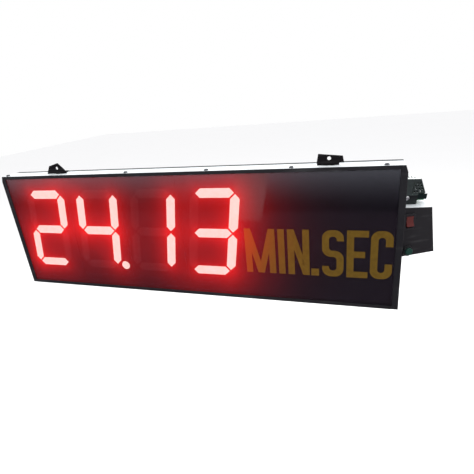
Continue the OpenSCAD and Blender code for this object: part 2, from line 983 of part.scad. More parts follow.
// Lid screws, and the two screws from inside the cabinet
module console_screws() {
    color("silver") {
        for (at = lid_screw_places())
            translate([at.x, console_back, at.y]) rear_screw(m3, console_t + 6);
        for (z = console_fix_z())
            translate([console_fix_x, front_y + cover_front, z])
                rotate([90, 0, 0]) pan_screw(m4, sheet_t + console_t + 1);
    }
}

// Control board stands on edge beside the console's left wall
module control_board() {
    board_x = console_left + console_t + 3;
    board_t = 1.6;
    low_z = console_z + 8;
    color("#1f6b3c")
        block(
            [board_x, rear_y + 8, low_z],
            [board_x + board_t, console_lid_y - 14, console_z + console_h - 8]
        );
    color("#202022") {
        for (i = [0, 1])
            translate([board_x + board_t, rear_y + 14, low_z + 4 + i * 20]) cube([3.4, 18, 8]);
        for (y = [rear_y + 10, console_lid_y - 20])
            block([console_left + console_t, y, low_z + 2], [board_x, y + 4, low_z + 6]);
    }
}

module sounder() {
    sounder_r = 11;
    sounder_l = 9;
    color("#1a1a1c")
        translate([sounder_x, console_lid_y, sounder_z])
            rotate([90, 0, 0])
                difference() {
                    cylinder(r = sounder_r, h = sounder_l);
                    translate([0, 0, -1]) cylinder(r = 1.5, h = 4);
                }
}

// Mains inlet with three pins in a recess that opens to the rear
module power_inlet() {
    pin = [2, 11, 4];
    floor_t = (inlet_cut.x - inlet_recess.x) / 2;
    floor_y = console_back - inlet_depth;
    color("#1a1a1c") {
        along_y(console_back, console_back + inlet_flange_t) inlet_ring(inlet_flange);
        along_y(floor_y, console_back) inlet_ring(inlet_cut);
        along_y(floor_y - floor_t, floor_y) translate([inlet_x, inlet_z]) square(inlet_cut, center = true);
    }
    color("silver")
        for (at = [[-7, -2], [0, 2], [7, -2]])
            translate([inlet_x + at.x - pin.x / 2, floor_y, inlet_z + at.y - pin.z / 2]) cube(pin);
}

module inlet_ring(size) {
    translate([inlet_x, inlet_z])
        difference() {
            square(size, center = true);
            square(inlet_recess, center = true);
        }
}

// ---------- rocker switch, drawn round its own centre on the face ----------

module at_rocker() {
    on_face() translate([rocker_u, 0, rocker_z]) children();
}

module rocker_housing() {
    bezel_x = rocker_bezel.x / 2;
    bezel_z = rocker_bezel.y / 2;
    body_x = rocker_body.x / 2;
    body_z = rocker_body.y / 2;
    well_x = rocker_well.x / 2;
    well_z = rocker_well.y / 2;
    color("#141416")
        at_rocker() {
            difference() {
                union() {
                    block([-bezel_x, -rocker_bezel_t, -bezel_z], [bezel_x, 0, bezel_z]);
                    block([-body_x, 0, -body_z], [body_x, rocker_depth, body_z]);
                }
                block([-well_x, -3, -well_z], [well_x, rocker_depth - 2, well_z]);
                translate([0, rocker_pivot_v, 0])
                    rotate([0, 90, 0]) cylinder(r = rocker_pin_r + running, h = 12, center = true);
            }
            for (z = [-5.5, 0, 5.5])
                block([-2.4, rocker_depth, z - 0.4], [2.4, rocker_depth + 7, z + 0.4]);
        }
}

// The paddle's side profile, [into the face, height], with a shallow valley across its middle
module paddle_profile() {
    tall = 6.5;
    proud = 3.2;
    valley = 1.7;
    root = rocker_pivot_v + 2;
    polygon([
        [-proud, -tall], [-valley, 0], [-proud, tall], [1.8, tall - 0.3],
        [root, 2.4], [root, -2.4], [1.8, -tall + 0.3]
    ]);
}

module rocker_paddle() {
    wide = rocker_well.x - 0.6;
    color("#c01c1c")
        at_rocker()
            translate([0, rocker_pivot_v, 0])
                rotate([-rocker_swing / 2, 0, 0]) {
                    translate([-wide / 2, -rocker_pivot_v, 0])
                        rotate([90, 0, 90]) linear_extrude(wide) paddle_profile();
                    rotate([0, 90, 0]) cylinder(r = rocker_pin_r, h = wide + 1.8, center = true);
                }
}

// ---------- push button, drawn along its own axis, pointing into the face ----------

module at_button() {
    on_face() translate([button_u, 0, button_z]) rotate([-90, 0, 0]) children();
}

module button_bezel() {
    color("#1a1a1c")
        at_button()
            difference() {
                union() {
                    translate([0, 0, -button_ring_t])
                        cylinder(r1 = button_ring_r - 0.8, r2 = button_ring_r, h = button_ring_t);
                    cylinder(r = button_barrel_r, h = button_barrel_l);
                }
                translate([0, 0, -button_ring_t - 1])
                    cylinder(r = button_cap_r + running, h = button_ring_t + 1 - button_floor_t);
                translate([0, 0, -button_ring_t])
                    cylinder(r = button_stem_r + running, h = button_ring_t + button_barrel_l + 1);
            }
}

module button_nut() {
    color("silver")
        at_button()
            translate([0, 0, face_plate_t + console_t])
                difference() {
                    cylinder(r = button_nut_r, h = button_nut_t, $fn = 6);
                    translate([0, 0, -1]) cylinder(r = button_barrel_r, h = button_nut_t + 2);
                }
}

module button_cap() {
    reach = button_ring_t + button_proud;
    chamfer = 0.6;
    color("#1e8a5a")
        at_button() {
            translate([0, 0, -reach]) cylinder(r1 = button_cap_r - chamfer, r2 = button_cap_r, h = chamfer);
            translate([0, 0, -reach + chamfer]) cylinder(r = button_cap_r, h = button_cap_l - chamfer);
            translate([0, 0, -reach + button_cap_l]) cylinder(r = button_stem_r, h = button_stem_l);
        }
}

// ---------- power supply ----------

function psu_origin() = face_start + psu_u * face_u + psu_v * face_v;

// Puts children at the supply's lower front left corner, on the console's falling top
module at_psu() {
    at = psu_origin();
    translate([at.x, at.y, console_top_z(at.x, 0) + seat])
        rotate([0, console_lean, 0]) rotate([0, 0, console_angle]) children();
}

// Holes for the two screws that hold the tray on the console
module psu_fix_holes(d) {
    at_psu()
        for (u = psu_fix_u())
            translate([u, psu_w / 2, -4]) cylinder(d = d, h = 8);
}

function psu_fix_u() = [8, psu_l - 8];

module psu_tray() {
    color("#4a5050")
        difference() {
            at_psu() {
                cube([psu_l, psu_w, psu_t]);
                for (v = [0, psu_w - psu_t])
                    translate([0, v, 0]) cube([psu_l, psu_t, psu_side_h]);
            }
            psu_fix_holes(m3 + 2 * hole_slack);
            psu_side_holes(m3 + 2 * hole_slack);
        }
}

// Holes through both sides for the screws that join the tray to the cage's lugs
module psu_side_holes(d) {
    at_psu()
        translate([psu_lug_u + psu_lug.x / 2, psu_w + 1, psu_screw_z])
            rotate([90, 0, 0]) cylinder(d = d, h = psu_w + 2);
}

// Staggered six-sided perforations that fill the field from low to high
module perforations(low, high) {
    across = floor((high.x - low.x - perforation_pitch / 2) / perforation_pitch);
    rows = floor((high.y - low.y) / perforation_row);
    for (i = [0 : across], j = [0 : rows])
        translate([low.x + (i + (j % 2) / 2) * perforation_pitch, low.y + j * perforation_row])
            circle(d = perforation_d, $fn = 6);
}

// The cage's side outline, [along, up], drawn smaller by wall; its end slopes out as a hood
module cage_side(wall) {
    floor_z = wall > 0 ? psu_low - 1 : psu_low;
    hood_low = wall > 0 ? hood_z - 1 : hood_z;
    roof = psu_h - wall;
    end_slope = hood_reach / (psu_h - hood_z);
    end_u = psu_l - wall;
    polygon([
        [wall, floor_z], [end_u, floor_z], [end_u, hood_low],
        [end_u + (psu_h - hood_low) * end_slope, hood_low], [end_u + wall * end_slope, roof], [wall, roof]
    ]);
}

// Perforations and the seam of the cage's sides
module cage_side_cuts() {
    first_u = seam_u + 2.6;
    low = hood_z + 2.1;
    perforations([7, low], [33, psu_h - 4]);
    perforations([first_u, low], [first_u + 1.6 * perforation_pitch, psu_h - 4]);
    perforations(
        [first_u + 2 * perforation_pitch, low],
        [first_u + 3 * perforation_pitch, low + 2 * perforation_row]
    );
    translate([seam_u - seam_w / 2, psu_low + 2]) square([seam_w, psu_h - psu_low - 5]);
}

module psu_cage() {
    color("#6f7f7a")
        difference() {
            at_psu() {
                difference() {
                    translate([0, psu_w, 0]) rotate([90, 0, 0]) linear_extrude(psu_w) cage_side(0);
                    translate([0, psu_w - psu_t, 0])
                        rotate([90, 0, 0]) linear_extrude(psu_w - 2 * psu_t) cage_side(psu_t);
                    translate([0, psu_w + 1, 0])
                        rotate([90, 0, 0]) linear_extrude(psu_w + 2) cage_side_cuts();
                    translate([0, 0, psu_h - 3])
                        linear_extrude(6) perforations([6, 5], [psu_l - 3, psu_w - 4]);
                }
                for (v = [psu_t, psu_w - psu_t - psu_lug.y])
                    translate([psu_lug_u, v, psu_low + 4 - psu_lug.z]) cube(psu_lug);
            }
            psu_side_holes(m3);
        }
}

// The supply's board runs out of the cage, under the terminal block
module psu_board() {
    margin = psu_t + 1.5;
    color("#2f7a48")
        at_psu()
            translate([margin, margin, psu_board_z])
                cube([psu_l + psu_terminal_l - 2 * margin, psu_w - 2 * margin, psu_board_t]);
}

// Board spacers, transformer, capacitors and the heat sink
module psu_parts() {
    spacer = [4, 4, psu_board_z - psu_t];
    transformer = 16;
    color("#c9a24a")
        at_psu() {
            for (u = [4, psu_l - 8], v = [5, psu_w - 9])
                translate([u, v, psu_t]) cube(spacer);
            translate([20, (psu_w - transformer) / 2, psu_board_top]) cube(transformer);
            for (at = [[10, 8.5], [10, psu_w - 8.5], [43, 9.5]])
                translate([at.x, at.y, psu_board_top]) cylinder(r = 4.5, h = 18);
            translate([45, psu_w - 11, psu_board_top]) cube([3, 8, 17]);
        }
}

module psu_terminal_block() {
    color("#17302c")
        at_psu()
            difference() {
                translate([psu_l + seat, psu_terminal_v, psu_board_top]) {
                    long = psu_terminal_l - seat;
                    cube([long, psu_terminal_w, psu_shelf_h]);
                    cube([2, psu_terminal_w, psu_terminal_h + 1]);
                    for (i = [0 : terminal_ways])
                        translate([0, i * terminal_pitch, 0]) cube([long, terminal_barrier, psu_terminal_h]);
                }
                at_terminals()
                    translate([0, 0, -terminal_screw_l])
                        cylinder(d = terminal_hole_d, h = 2 * terminal_screw_l);
            }
}

// Puts children on the shelf at each terminal
module at_terminals() {
    for (i = [0 : terminal_ways - 1])
        translate([
            terminal_screw_u,
            psu_terminal_v + (i + 0.5) * terminal_pitch + terminal_barrier / 2,
            psu_board_top + psu_shelf_h
        ])
            children();
}

module psu_screws() {
    side_grip = psu_t + psu_lug.y;
    color("silver")
        at_psu() {
            for (u = psu_fix_u())
                translate([u, psu_w / 2, psu_t]) pan_screw(m3, psu_t + seat + console_t);
            at_terminals() pan_screw(terminal_screw_d, terminal_screw_l);
            for (side = [0, 1])
                translate([psu_lug_u + psu_lug.x / 2, side * psu_w, psu_screw_z])
                    rotate([side == 0 ? 90 : -90, 0, 0]) pan_screw(m3, side_grip);
        }
}

// ---------- hangers ----------

// Foot folded back from the plate, with the bolt hole; the plate's outline is the child
module hanger(x) {
    plate_y = hanger_bolt_y - plate_ahead;
    color("#26262a")
        translate([x, 0, 0])
            difference() {
                union() {
                    along_y(plate_y, plate_y + hanger_t) translate([0, foot_z]) children();
                    block(
                        [-foot_w / 2, plate_y + hanger_t / 2, foot_z],
                        [foot_w / 2, hanger_bolt_y + foot_back, foot_z + hanger_t]
                    );
                }
                translate([0, hanger_bolt_y, foot_z - 1])
                    cylinder(r = m4 / 2 + running, h = 2 * hanger_t + 1);
                translate([0, plate_y - 1, hanger_hole_z])
                    rotate([-90, 0, 0]) cylinder(d = hanger_hole_d, h = 2 * hanger_t + 1);
            }
}

// The left plate is a lopsided gable with its peak right of the hole
module left_hanger() {
    hanger(hanger_x[0])
        polygon([[-20, 0], [16, 0], [13, 5.5], [3, hanger_h + 2], [-13, hanger_h - 2]]);
}

// The right plate is square topped, falls to the right and stands out past its foot there
module right_hanger() {
    step_z = 3.6;
    hanger(hanger_x[1])
        difference() {
            polygon([
                [-14, 0], [11.5, 0], [11.8, step_z - 1], [17, step_z - 1],
                [15.6, hanger_h - 3], [-12.6, hanger_h], [-14.4, step_z]
            ]);
            translate([-1.6, -1]) square([3.2, 2.6]);
        }
}

module hanger_bolts() {
    color("#3a3a3e")
        for (x = hanger_x)
            translate([x, hanger_bolt_y, foot_z + hanger_t + 0.1])
                pan_screw(m4, hanger_t + hanger_gap + sheet_t + 6);
}

module hanger_washers() {
    color("#d8d8d8")
        for (x = hanger_x)
            translate([x, hanger_bolt_y, cabinet_h])
                difference() {
                    cylinder(r = washer_r, h = hanger_gap - 0.1);
                    translate([0, 0, -1]) cylinder(r = m4 / 2 + hole_slack, h = 3);
                }
}

module hanger_nuts() {
    color("silver")
        for (x = hanger_x)
            translate([x, hanger_bolt_y, cabinet_h - sheet_t - nut_t])
                difference() {
                    cylinder(r = nut_r, h = nut_t, $fn = 6);
                    translate([0, 0, -1]) cylinder(d = m4, h = nut_t + 2);
                }
}

frame_top_rail();
frame_bottom_rail();
frame_left_rail();
frame_right_rail();
frame_corner_keys();
frame_screws();
front_screen();
screen_gasket();
screen_lettering();
front_mask();
cabinet_shell();
rear_cover();
rear_cover_screws();
digit_housing(0);  // digit_1_housing
digit_housing(1);  // digit_2_housing
digit_housing(2);  // digit_3_housing
digit_housing(3);  // digit_4_housing
digit_lit(0);  // digit_1_lit
digit_lit(1);  // digit_2_lit
digit_lit(2);  // digit_3_lit
digit_lit(3);  // digit_4_lit
digit_unlit(0);  // digit_1_unlit
digit_unlit(1);  // digit_2_unlit
digit_unlit(2);  // digit_3_unlit
digit_unlit(3);  // digit_4_unlit
decimal_point();
segment_leds();
digit_boards();
digit_rails();
digit_screws();
rail_end_screws();
driver_board();
driver_chips();
backup_cell();
board_standoffs();
ribbon_cable();
ribbon_plugs();
console_body();
console_face_plate();
console_lid();
console_screws();
control_board();
sounder();
power_inlet();
rocker_housing();
rocker_paddle();
button_bezel();
button_nut();
button_cap();
psu_tray();
psu_cage();
psu_board();
psu_parts();
psu_terminal_block();
psu_screws();
left_hanger();
right_hanger();
hanger_bolts();
hanger_washers();
hanger_nuts();
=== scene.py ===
import json
import math

import bmesh
import bpy
import numpy as np
from mathutils import Matrix, Vector


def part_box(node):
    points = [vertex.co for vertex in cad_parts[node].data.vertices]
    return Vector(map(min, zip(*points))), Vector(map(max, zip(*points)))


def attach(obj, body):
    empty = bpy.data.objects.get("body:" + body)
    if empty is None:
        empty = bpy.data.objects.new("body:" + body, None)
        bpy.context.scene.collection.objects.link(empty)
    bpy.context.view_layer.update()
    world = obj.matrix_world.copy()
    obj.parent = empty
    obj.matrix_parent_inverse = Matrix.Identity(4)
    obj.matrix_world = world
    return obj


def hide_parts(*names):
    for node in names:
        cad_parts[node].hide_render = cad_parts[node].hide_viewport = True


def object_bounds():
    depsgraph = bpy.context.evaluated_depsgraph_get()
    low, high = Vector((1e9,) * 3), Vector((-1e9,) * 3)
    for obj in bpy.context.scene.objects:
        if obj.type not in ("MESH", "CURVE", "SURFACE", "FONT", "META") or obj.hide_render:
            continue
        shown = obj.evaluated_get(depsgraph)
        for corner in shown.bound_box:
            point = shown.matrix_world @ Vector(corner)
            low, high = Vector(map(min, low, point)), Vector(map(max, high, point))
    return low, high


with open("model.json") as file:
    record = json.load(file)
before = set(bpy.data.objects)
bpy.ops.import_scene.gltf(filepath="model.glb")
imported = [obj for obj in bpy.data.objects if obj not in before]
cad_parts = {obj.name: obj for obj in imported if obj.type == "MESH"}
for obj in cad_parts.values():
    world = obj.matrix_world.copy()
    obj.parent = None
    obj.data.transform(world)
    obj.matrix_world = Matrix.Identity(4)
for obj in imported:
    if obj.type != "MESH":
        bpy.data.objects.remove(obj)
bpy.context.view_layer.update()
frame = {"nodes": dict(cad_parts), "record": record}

MM = 0.001
NODES = frame["nodes"]
CABINET = "cabinet"

# ---------------------------------------------------------------- small helpers


def node_material(name):
    """A new material, its node tree and its Principled node."""
    material = bpy.data.materials.new(name)
    material.use_nodes = True
    tree = material.node_tree
    return material, tree, tree.nodes["Principled BSDF"]


def add_node(tree, kind, **settings):
    """A shader node with its properties set; socket values are given as in_NAME."""
    node = tree.nodes.new(kind)
    for key, value in settings.items():
        if key.startswith("in_"):
            node.inputs[key[3:].replace("_", " ")].default_value = value
        else:
            setattr(node, key, value)
    return node


def object_coordinates(tree):
    return add_node(tree, "ShaderNodeTexCoord").outputs["Object"]


def noise(tree, scale, detail=4.0, rough=0.55, stretch=None):
    """Noise in object space, scale in features per metre, stretched along an axis if asked."""
    coordinates = object_coordinates(tree)
    if stretch:
        mapping = add_node(tree, "ShaderNodeMapping")
        mapping.inputs["Scale"].default_value = stretch
        tree.links.new(coordinates, mapping.inputs["Vector"])
        coordinates = mapping.outputs["Vector"]
    node = add_node(tree, "ShaderNodeTexNoise", in_Scale=scale, in_Detail=detail, in_Roughness=rough)
    tree.links.new(coordinates, node.inputs["Vector"])
    return node.outputs["Fac"]


def ramp(tree, factor, low, high, value_low, value_high):
    """Maps a factor from low..high to value_low..value_high, clamped."""
    node = add_node(tree, "ShaderNodeMapRange")
    for name, value in (("From Min", low), ("From Max", high), ("To Min", value_low), ("To Max", value_high)):
        node.inputs[name].default_value = value
    tree.links.new(factor, node.inputs["Value"])
    return node.outputs["Result"]


def math_node(tree, operation, a, b=None):
    """A Math node; a and b are sockets or numbers."""
    node = add_node(tree, "ShaderNodeMath", operation=operation)
    for i, value in enumerate((a, b)):
        if value is None:
            continue
        if isinstance(value, (int, float)):
            node.inputs[i].default_value = value
        else:
            tree.links.new(value, node.inputs[i])
    return node.outputs[0]


def mixed_colour(tree, factor, colour_a, colour_b):
    """A colour between two, each a tuple or a socket."""
    node = add_node(tree, "ShaderNodeMix", data_type="RGBA")
    tree.links.new(factor, node.inputs["Factor"])
    colour_inputs = [s for s in node.inputs if s.type == "RGBA"]
    for socket, value in zip(colour_inputs, (colour_a, colour_b)):
        if isinstance(value, tuple):
            socket.default_value = (*value, 1.0)
        else:
            tree.links.new(value, socket)
    return [s for s in node.outputs if s.type == "RGBA"][0]


def bump(tree, shader, height, strength, distance, edge_radius=0.0):
    """Bump from a height socket, over rounded edges if a radius is given."""
    node = add_node(tree, "ShaderNodeBump", in_Strength=strength, in_Distance=distance)
    tree.links.new(height, node.inputs["Height"])
    if edge_radius:
        rounded = add_node(tree, "ShaderNodeBevel", samples=4, in_Radius=edge_radius)
        tree.links.new(rounded.outputs["Normal"], node.inputs["Normal"])
    tree.links.new(node.outputs["Normal"], shader.inputs["Normal"])


def tinted(colour, factor):
    return tuple(min(1.0, c * factor) for c in colour)


def varied(tree, factor, colour_a, colour_b):
    """A colour that drifts between two with the middle of a noise."""
    return mixed_colour(tree, ramp(tree, factor, 0.3, 0.7, 0.0, 1.0), colour_a, colour_b)


# ---------------------------------------------------------------- materials


def powder_coat(name, colour, rough=0.45, grain=1400.0, strength=0.12, wear=0.5, specular=0.5, edge=0.0):
    """Painted sheet metal: orange-peel bump, blotchy gloss, faint dust and rubbed streaks."""
    material, tree, shader = node_material(name)
    blotch = noise(tree, 14.0, 5.0)
    streaks = noise(tree, 60.0, 6.0, stretch=(0.25, 1.0, 3.0))
    scuff = math_node(tree, "MULTIPLY", ramp(tree, streaks, 0.56, 0.76, 0.0, 1.0), wear)
    base = varied(tree, blotch, tinted(colour, 0.86), tinted(colour, 1.12))
    lifted = tuple(c + (0.5 - c) * 0.16 for c in colour)
    tree.links.new(mixed_colour(tree, scuff, base, lifted), shader.inputs["Base Color"])
    gloss = ramp(tree, blotch, 0.25, 0.75, rough - 0.07, rough + 0.09)
    duller = math_node(tree, "MULTIPLY", scuff, 0.15)
    tree.links.new(math_node(tree, "ADD", gloss, duller), shader.inputs["Roughness"])
    shader.inputs["Specular IOR Level"].default_value = specular
    bump(tree, shader, noise(tree, grain, 2.0), strength, 0.00008, edge)
    return material


def moulded_plastic(name, colour, rough=0.35, grain=2200.0, strength=0.1, specular=0.5, edge=0.0003):
    """Injection moulded plastic: fine spark texture, slow colour drift and fingermarks."""
    material, tree, shader = node_material(name)
    drift = noise(tree, 40.0, 3.0)
    marks = noise(tree, 120.0, 5.0, 0.65)
    base = varied(tree, drift, tinted(colour, 0.88), tinted(colour, 1.1))
    tree.links.new(base, shader.inputs["Base Color"])
    tree.links.new(ramp(tree, marks, 0.3, 0.75, rough - 0.06, rough + 0.14), shader.inputs["Roughness"])
    shader.inputs["Specular IOR Level"].default_value = specular
    bump(tree, shader, noise(tree, grain, 2.0), strength, 0.00005, edge)
    return material


def painted_top_highlight(tree, shader, base, patches, amount):
    """Painted highlight: faces that look up are made pale and less metallic, standing in for the bright light
    they reflect.
    """
    facing = add_node(tree, "ShaderNodeSeparateXYZ")
    tree.links.new(add_node(tree, "ShaderNodeNewGeometry").outputs["Normal"], facing.inputs["Vector"])
    upward = ramp(tree, facing.outputs["Z"], 0.75, 0.95, 0.0, amount)
    # pale, less metallic colour on the upward faces: painted highlight
    highlight_share = math_node(tree, "MULTIPLY", upward, ramp(tree, patches, 0.2, 0.7, 1.0, 0.8))
    tree.links.new(math_node(tree, "SUBTRACT", 1.0, highlight_share), shader.inputs["Metallic"])
    return mixed_colour(tree, highlight_share, base, (0.74, 0.77, 0.76))


def bare_metal(
    name, colour, rough=0.3, brushing=(1.0, 1.0, 30.0), strength=0.15, tarnish=0.25, edge=0.0002, top_highlight_amount=0.0
):
    """Zinc plate, aluminium or brass: fine brushing, spangle and dull patches, with a painted pale highlight
    on the upward faces if asked.
    """
    material, tree, shader = node_material(name)
    shader.inputs["Metallic"].default_value = 1.0
    lines = noise(tree, 220.0, 6.0, 0.7, stretch=brushing)
    patches = noise(tree, 70.0, 3.0)
    dull = ramp(tree, patches, 0.45, 0.75, 0.0, tarnish)
    base = mixed_colour(tree, dull, colour, tinted(colour, 0.45))
    # painted highlight on the faces that look up
    if top_highlight_amount:
        base = painted_top_highlight(tree, shader, base, patches, top_highlight_amount)
    tree.links.new(base, shader.inputs["Base Color"])
    gloss = ramp(tree, lines, 0.25, 0.75, rough - 0.08, rough + 0.12)
    duller = math_node(tree, "MULTIPLY", dull, 0.4)
    tree.links.new(math_node(tree, "ADD", gloss, duller), shader.inputs["Roughness"])
    bump(tree, shader, lines, strength, 0.00003, edge)
    return material


def circuit_board(name):
    """Green solder mask over copper tracks, with a woven core just showing."""
    material, tree, shader = node_material(name)
    coordinates = object_coordinates(tree)
    tracks = add_node(tree, "ShaderNodeTexBrick", offset=0.5, squash=1.0)
    tracks.inputs["Scale"].default_value = 90.0
    tracks.inputs["Mortar Size"].default_value = 0.035
    tracks.inputs["Color1"].default_value = (0.012, 0.10, 0.040, 1)
    tracks.inputs["Color2"].default_value = (0.016, 0.13, 0.050, 1)
    tracks.inputs["Mortar"].default_value = (0.05, 0.24, 0.09, 1)
    turn = add_node(tree, "ShaderNodeMapping")
    turn.inputs["Rotation"].default_value = (math.pi / 2, 0, 0)
    tree.links.new(coordinates, turn.inputs["Vector"])
    tree.links.new(turn.outputs["Vector"], tracks.inputs["Vector"])
    tree.links.new(tracks.outputs["Color"], shader.inputs["Base Color"])
    tree.links.new(ramp(tree, noise(tree, 300.0), 0.3, 0.7, 0.28, 0.42), shader.inputs["Roughness"])
    bump(tree, shader, tracks.outputs["Fac"], 0.3, 0.00005)
    return material


def ribbon(name):
    """Flat cable: round grey cores side by side, darker in the grooves between them by painted shade."""
    material, tree, shader = node_material(name)
    wave = add_node(tree, "ShaderNodeTexWave", bands_direction="Z", wave_profile="SIN", in_Scale=125.0)
    tree.links.new(object_coordinates(tree), wave.inputs["Vector"])
    # darker colour in the grooves between the cores: painted shade
    painted_groove_shade = mixed_colour(tree, wave.outputs["Fac"], (0.16, 0.165, 0.175), (0.40, 0.41, 0.43))
    tree.links.new(painted_groove_shade, shader.inputs["Base Color"])
    tree.links.new(ramp(tree, noise(tree, 400.0), 0.3, 0.7, 0.4, 0.55), shader.inputs["Roughness"])
    bump(tree, shader, wave.outputs["Fac"], 0.6, 0.0003)
    return material


HAZE = "haze"


def haze_light(tree, shader, share):
    """Red light scattered in the smoked plastic, as strong as the mesh's haze attribute says."""
    attribute = add_node(tree, "ShaderNodeAttribute", attribute_name=HAZE)
    mottled = ramp(tree, noise(tree, 22.0, 3.0), 0.3, 0.7, 0.90, 1.10)
    shader.inputs["Emission Color"].default_value = (1.0, 0.012, 0.010, 1)
    strength = math_node(tree, "MULTIPLY", attribute.outputs["Fac"], mottled)
    tree.links.new(math_node(tree, "MULTIPLY", strength, share), shader.inputs["Emission Strength"])


SCREEN_ALPHA = 0.60


def smoked_acrylic(name):
    """Glossy dark sheet that the lamps shine through, with wipe marks in its gloss."""
    material, tree, shader = node_material(name)
    wipe = noise(tree, 18.0, 6.0, 0.7, stretch=(0.4, 1.0, 1.6))
    tone = varied(tree, wipe, (0.0045, 0.0035, 0.006), (0.008, 0.006, 0.010))
    tree.links.new(tone, shader.inputs["Base Color"])
    tree.links.new(ramp(tree, wipe, 0.35, 0.8, 0.03, 0.13), shader.inputs["Roughness"])
    shader.inputs["Specular IOR Level"].default_value = 0.8
    shader.inputs["Alpha"].default_value = SCREEN_ALPHA
    haze_light(tree, shader, 1.0 / SCREEN_ALPHA)
    bump(tree, shader, noise(tree, 9.0, 2.0), 0.05, 0.0006)
    return material


def vinyl(name):
    """Cut mustard vinyl, mottled by its adhesive and painted orange where the red light of the segments falls
    on it.
    """
    material, tree, shader = node_material(name)
    mottle = noise(tree, 260.0, 4.0, 0.6)
    base = varied(tree, mottle, (0.082, 0.044, 0.0012), (0.116, 0.064, 0.0024))
    haze = add_node(tree, "ShaderNodeAttribute", attribute_name=HAZE)
    red_light_tint = ramp(tree, haze.outputs["Fac"], 0.0, 0.18, 0.0, 1.0)
    # colour painted orange by the haze attribute: painted red light from the segments
    tree.links.new(mixed_colour(tree, red_light_tint, base, (0.22, 0.034, 0.001)), shader.inputs["Base Color"])
    tree.links.new(ramp(tree, mottle, 0.3, 0.7, 0.42, 0.6), shader.inputs["Roughness"])
    shader.inputs["Specular IOR Level"].default_value = 0.15
    haze_light(tree, shader, 0.8)
    bump(tree, shader, mottle, 0.1, 0.00006)
    return material


def lit_lens(name):
    """Diffusing resin over burning lamps: all but white, a touch warmer between the lamps."""
    material, tree, shader = node_material(name)
    lamps = noise(tree, 160.0, 2.0)
    glow = mixed_colour(tree, ramp(tree, lamps, 0.35, 0.65, 0.0, 1.0), (1.0, 0.88, 0.78), (1.0, 0.95, 0.90))
    tree.links.new(glow, shader.inputs["Emission Color"])
    shader.inputs["Emission Strength"].default_value = 4.4
    shader.inputs["Base Color"].default_value = (0.8, 0.5, 0.45, 1)
    tree.links.new(ramp(tree, lamps, 0.3, 0.7, 0.35, 0.5), shader.inputs["Roughness"])
    return material


def dark_lens(name):
    """The same resin unlit: dull pinkish grey, frosted, with lamps faintly showing."""
    material, tree, shader = node_material(name)
    lamps = add_node(tree, "ShaderNodeTexVoronoi", in_Scale=150.0)
    tree.links.new(object_coordinates(tree), lamps.inputs["Vector"])
    spots = ramp(tree, lamps.outputs["Distance"], 0.0, 0.5, 0.0, 1.0)
    resin = mixed_colour(tree, spots, (0.44, 0.20, 0.20), (0.32, 0.12, 0.13))
    tree.links.new(resin, shader.inputs["Base Color"])
    tree.links.new(ramp(tree, noise(tree, 900.0), 0.3, 0.7, 0.5, 0.66), shader.inputs["Roughness"])
    bump(tree, shader, noise(tree, 1800.0), 0.2, 0.00005)
    return material


def studio_paper(name, colour):
    material, tree, shader = node_material(name)
    tree.links.new(
        mixed_colour(tree, noise(tree, 3.0, 2.0), tinted(colour, 0.985), colour), shader.inputs["Base Color"]
    )
    shader.inputs["Roughness"].default_value = 0.9
    shader.inputs["Specular IOR Level"].default_value = 0.1
    return material


